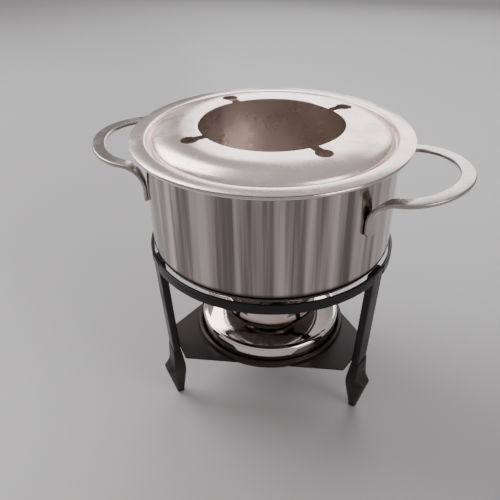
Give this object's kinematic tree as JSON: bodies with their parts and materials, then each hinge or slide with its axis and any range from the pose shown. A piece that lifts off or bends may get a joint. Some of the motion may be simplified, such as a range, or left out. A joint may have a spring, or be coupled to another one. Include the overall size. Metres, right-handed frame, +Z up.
{
  "type": "fondue pot set",
  "caption": "Table fondue set: steel pot with strap handles and a fork guard, on a black stand with legs and a spirit burner",
  "frame": {"origin": "on the table under the pot's axis", "axes": "+Z up, -Y towards the stand's open front between two legs, +X to the right as seen from there"},
  "size_m": [0.2744, 0.198, 0.2293],
  "materials": {
    "pot_steel": "mirror-polished stainless steel",
    "guard_steel": "satin-bright stainless steel with a circular grain",
    "handle_steel": "satin stainless steel",
    "stand_paint": "satin black paint on steel",
    "foot_plastic": "matt black heat-proof plastic",
    "burner_chrome": "bright stainless steel",
    "wadding_wool": "white absorbent wool",
    "gauze_wire": "fine wire gauze"
  },
  "bodies": {
    "stand": {"stand_ring": "stand_paint", "leg_left": "stand_paint", "leg_right": "stand_paint", "leg_back": "stand_paint", "foot_left": "foot_plastic", "foot_right": "foot_plastic", "foot_back": "foot_plastic", "burner_plate": "stand_paint"},
    "pot": {"pot_body": "pot_steel", "handle_left": "handle_steel", "handle_right": "handle_steel"},
    "guard": {"fork_guard": "guard_steel"},
    "burner": {"burner_housing": "burner_chrome", "burner_base": "burner_chrome", "fuel_can": "burner_chrome", "wadding": "wadding_wool", "gauze": "gauze_wire", "gauze_ring": "gauze_wire"},
    "cover": {"burner_cover": "burner_chrome"},
    "regulator": {"regulator_disc": "burner_chrome", "regulator_knob": "foot_plastic"}
  },
  "joints": [
    {"name": "pot_lift", "type": "slide", "parent": "stand", "child": "pot", "axis": [0, 0, 1], "range_m": [0, 0.1]},
    {"name": "guard_lift", "type": "slide", "parent": "pot", "child": "guard", "axis": [0, 0, 1], "range_m": [0, 0.06]},
    {"name": "burner_lift", "type": "slide", "parent": "stand", "child": "burner", "axis": [0, 0, 1], "range_m": [0, 0.012]},
    {"name": "cover_lift", "type": "slide", "parent": "burner", "child": "cover", "axis": [0, 0, 1], "range_m": [0, 0.014]},
    {"name": "regulator_turn", "type": "hinge", "parent": "cover", "child": "regulator", "pos_m": [0, 0, 0.0894], "axis": [0, 0, 1], "range_deg": [0, 22.5]}
  ]
}
